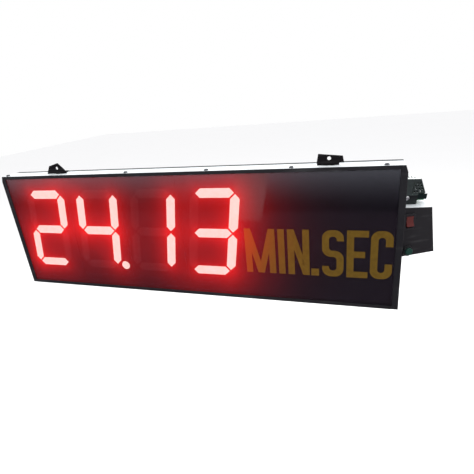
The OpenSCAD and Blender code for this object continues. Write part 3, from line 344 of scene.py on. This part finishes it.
MATERIALS = {
    "frame_black": powder_coat(
        "frame_black", (0.008, 0.008, 0.010), 0.42, wear=0.25, specular=0.35, edge=0.0004
    ),
    "key_aluminium": bare_metal("key_aluminium", (0.72, 0.73, 0.74), 0.36, (0.15, 1.0, 8.0)),
    "black_screws": bare_metal("black_screws", (0.075, 0.075, 0.082), 0.38, (1, 1, 1), tarnish=0.4),
    "smoked_acrylic": smoked_acrylic("smoked_acrylic"),
    "gasket_rubber": moulded_plastic("gasket_rubber", (0.012, 0.012, 0.012), 0.8, 900.0, 0.5, 0.2, 0.0),
    "amber_vinyl": vinyl("amber_vinyl"),
    "mask_black": moulded_plastic("mask_black", (0.006, 0.0055, 0.007), 0.7, 1200.0, 0.2, 0.2, 0.0),
    "shell_silver": powder_coat("shell_silver", (0.58, 0.61, 0.63), 0.38, 1100.0, 0.15, 0.35, edge=0.0004),
    "cover_grey": powder_coat("cover_grey", (0.050, 0.054, 0.056), 0.62, wear=0.5, specular=0.1, edge=0.0003),
    "steel_screws": bare_metal("steel_screws", (0.70, 0.71, 0.72), 0.26, (1, 1, 1), tarnish=0.3),
    "digit_housing": moulded_plastic("digit_housing", (0.020, 0.006, 0.007), 0.62, 1500.0, 0.25, 0.25, 0.0),
    "lens_lit": lit_lens("lens_lit"),
    "lens_dark": dark_lens("lens_dark"),
    "led_chip": moulded_plastic("led_chip", (0.85, 0.80, 0.62), 0.4),
    "circuit_board": circuit_board("circuit_board"),
    "chip_black": moulded_plastic("chip_black", (0.022, 0.022, 0.024), 0.5, 1600.0, 0.2),
    "cell_steel": bare_metal("cell_steel", (0.62, 0.63, 0.64), 0.25),
    "brass_standoff": bare_metal("brass_standoff", (0.72, 0.52, 0.22), 0.28),
    "ribbon_grey": ribbon("ribbon_grey"),
    "console_black": powder_coat(
        "console_black", (0.010, 0.0098, 0.0115), 0.42, wear=0.35, specular=0.4, edge=0.0004
    ),
    "inlet_black": moulded_plastic("inlet_black", (0.014, 0.014, 0.016), 0.32),
    "switch_black": moulded_plastic("switch_black", (0.014, 0.014, 0.016), 0.3),
    "rocker_red": moulded_plastic("rocker_red", (0.095, 0.017, 0.015), 0.36, 2600.0, 0.05, 0.25),
    "button_green": moulded_plastic("button_green", (0.009, 0.046, 0.034), 0.34, 2600.0, 0.05, 0.3),
    # the tray's zinc is darker than the cage's: painted shade for the shadow under the cage
    "zinc_tray": bare_metal("zinc_tray", (0.045, 0.052, 0.052), 0.42, (1, 1, 1), tarnish=0.6),
    # the cage's upward faces get a painted pale highlight
    "zinc_cage": bare_metal("zinc_cage", (0.125, 0.165, 0.150), 0.45, (1, 1, 1), tarnish=0.6, top_highlight_amount=0.9),
    "psu_parts": moulded_plastic("psu_parts", (0.50, 0.36, 0.08), 0.4),
    "terminal_green": moulded_plastic("terminal_green", (0.003, 0.010, 0.010), 0.5, specular=0.12),
    "hanger_black": powder_coat(
        "hanger_black", (0.006, 0.005, 0.006), 0.55, wear=0.15, specular=0.05, edge=0.0003
    ),
    "nylon_washer": moulded_plastic("nylon_washer", (0.70, 0.69, 0.66), 0.45),
}
SLOT_OF = {s["node"]: s["material_slot"] for s in frame["record"]["subparts"]}


def dress_cad_nodes():
    """Gives every CAD node its slot's material."""
    for name, obj in NODES.items():
        obj.data.materials.clear()
        obj.data.materials.append(MATERIALS[SLOT_OF[name]])


# ---------------------------------------------------------------- pieces built round the frame


def link(obj):
    bpy.context.scene.collection.objects.link(obj)
    return obj


def object_from(bm, name):
    mesh = bpy.data.meshes.new(name)
    bm.to_mesh(mesh)
    bm.free()
    return link(bpy.data.objects.new(name, mesh))


SAME_PLACE = 1e-6
FLAT_ANGLE = 0.6


def solid_of(node):
    """The CAD node's mesh with its split corners joined and its flat faces made whole."""
    bm = bmesh.new()
    bm.from_mesh(NODES[node].data)
    bmesh.ops.remove_doubles(bm, verts=bm.verts, dist=SAME_PLACE)
    bmesh.ops.dissolve_limit(bm, angle_limit=math.radians(FLAT_ANGLE), verts=bm.verts, edges=bm.edges)
    return bm


def adopt(piece, node, body=CABINET):
    """The piece takes the node's place: the material of the node's slot and the given body, with the node
    hidden.
    """
    slot = SLOT_OF[node]
    piece.data.materials.clear()
    piece.data.materials.append(MATERIALS[slot])
    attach(piece, body)
    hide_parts(node)
    return piece


EDGE_SEGMENTS = 2
SHARP_ANGLE = 30.0


def soften(piece, width):
    """Rounds the sharp edges inward and evens the shading of the flats."""
    edge = piece.modifiers.new("edge", "BEVEL")
    edge.width = width
    edge.segments = EDGE_SEGMENTS
    edge.limit_method = "ANGLE"
    edge.angle_limit = math.radians(SHARP_ANGLE)
    edge.use_clamp_overlap = True
    edge.miter_outer = "MITER_ARC"
    for polygon in piece.data.polygons:
        polygon.use_smooth = True
    normals = piece.modifiers.new("normals", "WEIGHTED_NORMAL")
    normals.keep_sharp = True
    normals.weight = 80


def soft_edged(node, width, body=CABINET):
    """A copy of a CAD node with rounded edges."""
    piece = object_from(solid_of(node), node + "_finish")
    soften(piece, width)
    return adopt(piece, node, body)


# Edge radii in millimetres
SOFT_EDGES = {
    "frame_top_rail": 0.5, "frame_bottom_rail": 0.5, "frame_left_rail": 0.5, "frame_right_rail": 0.5,
    "cabinet_shell": 0.4, "console_body": 0.5, "console_face_plate": 0.3,
    "psu_tray": 0.25, "psu_terminal_block": 0.2, "power_inlet": 0.35, "rocker_housing": 0.35,
}
MOVING_SOFT_EDGES = {
    "rocker_paddle": (0.4, "rocker"),
    "left_hanger": (0.3, "left_hanger_body"),
    "right_hanger": (0.3, "right_hanger_body"),
}


def round_the_casings():
    for node, width in SOFT_EDGES.items():
        soft_edged(node, width * MM)
    for node, (width, body) in MOVING_SOFT_EDGES.items():
        soft_edged(node, width * MM, body)


# ---------------------------------------------------------------- glow of the lit segments


def islands(bm):
    """Groups of joined vertices, in the mesh's own order."""
    seen = set()
    for start in bm.verts:
        if start in seen:
            continue
        seen.add(start)
        group, reached = [], [start]
        while reached:
            vertex = reached.pop()
            group.append(vertex)
            for e in vertex.link_edges:
                other = e.other_vert(vertex)
                if other not in seen:
                    seen.add(other)
                    reached.append(other)
        yield group


def lit_strokes():
    """Centre line ends, in X and Z, and half width of every lit segment, from the lenses themselves."""
    strokes = []
    lit_nodes = [n for n in NODES if n.startswith("digit_") and n.endswith("_lit")] + ["decimal_point"]
    for node in sorted(lit_nodes):
        bm = solid_of(node)
        for group in islands(bm):
            strokes.append(stroke_through(np.array([(v.co.x, v.co.z) for v in group])))
        bm.free()
    return strokes


# Just under 1, so that the round point's stroke keeps a direction
STROKE_INSET = 0.98


def stroke_through(points):
    """The longest line across an outline, drawn in from both tips by about the outline's half width."""
    gaps = np.linalg.norm(points[:, None] - points[None], axis=2)
    i, j = np.unravel_index(gaps.argmax(), gaps.shape)
    a, b = points[i], points[j]
    along = (b - a) / np.linalg.norm(b - a)
    across = np.array([-along[1], along[0]])
    half = np.ptp((points - a) @ across) / 2
    inset = along * half * STROKE_INSET
    return a + inset, b - inset, half


# Strength and reach of the glow close to a segment and far from it, and where it saturates
HAZE_NEAR = (0.125, 6.9 * MM)
HAZE_FAR = (0.132, 23.0 * MM)
HAZE_LIMIT = 2.6
HAZE_UNIT = 30 * MM
HAZE_SHORTEST = 8 * MM


def haze_at(points, strokes):
    """How much red light reaches points of the screen from the lit segments."""
    total = np.zeros(len(points))
    for a, b, half in strokes:
        line = b - a
        length = np.linalg.norm(line)
        t = np.clip((points - a) @ line / (length * length), 0, 1)
        away = np.maximum(np.linalg.norm(points - (a + t[:, None] * line), axis=1) - half, 0)
        weight = max(length, HAZE_SHORTEST) / HAZE_UNIT
        for amount, reach in (HAZE_NEAR, HAZE_FAR):
            total += weight * amount * np.exp(-away / reach)
    return total / (1 + total / HAZE_LIMIT)


def paint_haze(piece, strokes):
    mesh = piece.data
    places = np.zeros(len(mesh.vertices) * 3)
    mesh.vertices.foreach_get("co", places)
    values = haze_at(places.reshape(-1, 3)[:, [0, 2]], strokes)
    attribute = mesh.attributes.new(HAZE, "FLOAT", "POINT")
    attribute.data.foreach_set("value", values.astype(np.float32))


def slice_along(bm, axis, low, high, step):
    """Cuts the mesh with planes every step along an axis."""
    normal = Vector((0, 0, 0))
    normal[axis] = 1
    count = int((high - low) / step)
    for i in range(1, count):
        point = Vector((0, 0, 0))
        point[axis] = low + (high - low) * i / count
        whole = bm.verts[:] + bm.edges[:] + bm.faces[:]
        bmesh.ops.bisect_plane(bm, geom=whole, plane_co=point, plane_no=normal)


def hazy_piece(node, step, edge):
    """A CAD node cut into a fine grid that carries the haze, with softened rims."""
    low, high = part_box(node)
    bm = solid_of(node)
    slice_along(bm, 0, low.x, high.x, step)
    slice_along(bm, 2, low.z, high.z, step)
    piece = object_from(bm, node + "_finish")
    paint_haze(piece, STROKES)
    soften(piece, edge)
    return adopt(piece, node)


STROKES = lit_strokes()

# ---------------------------------------------------------------- stage


FLOOR_HALF = 6.0
FLOOR_CELLS = 24
FLOOR_DROP = 0.45
FLOOR_MIDDLE_Y = 2.0


def pale_floor():
    """A wide plain floor well under the hanging timer."""
    low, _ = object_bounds()
    bm = bmesh.new()
    bmesh.ops.create_grid(bm, x_segments=FLOOR_CELLS, y_segments=FLOOR_CELLS, size=FLOOR_HALF)
    floor = object_from(bm, "floor")
    floor.location = (0, FLOOR_MIDDLE_Y, low.z - FLOOR_DROP)
    floor.data.materials.append(studio_paper("floor_paper", (0.97, 0.97, 0.97)))
    floor.visible_glossy = False


def reflector(name, corners, colour, low_glow, high_glow, curve):
    """A card that only reflections see; its glow grows from its bottom edge to its top edge."""
    bm = bmesh.new()
    bm.faces.new([bm.verts.new(c) for c in corners])
    card = object_from(bm, name)
    material = bpy.data.materials.new(name)
    material.use_nodes = True
    tree = material.node_tree
    tree.nodes.clear()
    heights = [c[2] for c in corners]
    split = add_node(tree, "ShaderNodeSeparateXYZ")
    tree.links.new(object_coordinates(tree), split.inputs["Vector"])
    rise = ramp(tree, split.outputs["Z"], min(heights), max(heights), 0.0, 1.0)
    glow = ramp(tree, math_node(tree, "POWER", rise, curve), 0.0, 1.0, low_glow, high_glow)
    light = add_node(tree, "ShaderNodeEmission")
    light.inputs["Color"].default_value = (*colour, 1)
    tree.links.new(glow, light.inputs["Strength"])
    out = add_node(tree, "ShaderNodeOutputMaterial")
    tree.links.new(light.outputs[0], out.inputs["Surface"])
    card.data.materials.append(material)
    card.visible_camera = False
    card.visible_diffuse = False
    card.visible_shadow = False
    card.visible_transmission = False


def soft_light(name, place, aim, size, power, colour=(1, 1, 1)):
    data = bpy.data.lights.new(name, "AREA")
    data.shape = "RECTANGLE"
    data.size, data.size_y = size
    data.energy = power
    data.color = colour
    lamp = link(bpy.data.objects.new(name, data))
    lamp.location = place
    lamp.rotation_euler = (Vector(aim) - Vector(place)).to_track_quat("-Z", "Y").to_euler()
    return lamp


def studio_world():
    """Pale all round for the camera; dimmer on the side that the screen mirrors."""
    world = bpy.data.worlds.new("studio")
    world.use_nodes = True
    bpy.context.scene.world = world
    tree = world.node_tree
    tree.nodes.clear()
    direction = add_node(tree, "ShaderNodeTexCoord").outputs["Generated"]
    split = add_node(tree, "ShaderNodeSeparateXYZ")
    tree.links.new(direction, split.inputs["Vector"])
    behind = ramp(tree, split.outputs["Y"], -0.15, 0.5, 0.0, 1.0)
    above = ramp(tree, split.outputs["Z"], -0.05, 0.5, 0.0, 1.0)
    bright = math_node(tree, "MAXIMUM", behind, above)
    mirrored = mixed_colour(tree, bright, (0.17, 0.13, 0.17), (0.95, 0.95, 0.96))
    path = add_node(tree, "ShaderNodeLightPath")
    soft = mixed_colour(tree, path.outputs["Is Glossy Ray"], (0.98, 0.98, 0.99), mirrored)
    seen = mixed_colour(tree, path.outputs["Is Camera Ray"], soft, (1.0, 1.0, 1.0))
    background = add_node(tree, "ShaderNodeBackground")
    tree.links.new(seen, background.inputs["Color"])
    out = add_node(tree, "ShaderNodeOutputWorld")
    tree.links.new(background.outputs[0], out.inputs["Surface"])


# The photograph's view: right of the cabinet's middle, above it and close up
CAMERA_PLACE = Vector((0.2378, -0.4583, 0.2750))
CAMERA_FORWARD = Vector((-0.30165, 0.88185, -0.36242))
CAMERA_UP = Vector((-0.02617, 0.37232, 0.92773))
CAMERA_LENS = 28.29


def photograph_camera():
    data = bpy.data.cameras.new("camera")
    data.sensor_width = 36.0
    data.lens = CAMERA_LENS
    data.clip_start = 0.01
    camera = link(bpy.data.objects.new("camera", data))
    right = CAMERA_FORWARD.cross(CAMERA_UP).normalized()
    up = right.cross(CAMERA_FORWARD).normalized()
    axes = Matrix((right, up, -CAMERA_FORWARD.normalized())).transposed()
    camera.matrix_world = Matrix.Translation(CAMERA_PLACE) @ axes.to_4x4()
    bpy.context.scene.camera = camera


# Cards before the screen, as [left, right] at the bottom edge, [left, right] at the top, [bottom, top]
CARD_Y = -1.02
SKY_CARD = ((-1.55, 0.50), (-1.55, 0.50), (-0.20, -0.012))
WINDOW_CARD = ((-0.270, -0.140), (-0.234, -0.094), (-0.238, -0.030))


def card_corners(card, y):
    (low_left, low_right), (high_left, high_right), (bottom, top) = card
    return [(low_left, y, bottom), (low_right, y, bottom), (high_right, y, top), (high_left, y, top)]


def light_the_studio():
    studio_world()
    soft_light("key", (-0.5, -0.9, 1.5), (0, 0, 0.1), (1.4, 1.0), 14.0)
    soft_light("top", (0.1, 0.25, 1.3), (0, 0, 0.15), (1.6, 0.8), 16.0)
    soft_light("rim", (0.9, 0.9, 0.6), (0.3, 0.05, 0.1), (0.8, 0.8), 5.0)
    reflector("sky_card", card_corners(SKY_CARD, CARD_Y), (0.82, 0.86, 1.0), 0.05, 2.0, 2.1)
    window_y = CARD_Y + 0.01
    reflector("window_card", card_corners(WINDOW_CARD, window_y), (1.0, 0.95, 1.0), 0.55, 1.2, 1.0)


dress_cad_nodes()
round_the_casings()
hazy_piece("front_screen", 3 * MM, 0.3 * MM)
hazy_piece("screen_lettering", 4 * MM, 0.05 * MM)
pale_floor()
light_the_studio()
photograph_camera()
bpy.context.scene.view_settings.view_transform = "Standard"
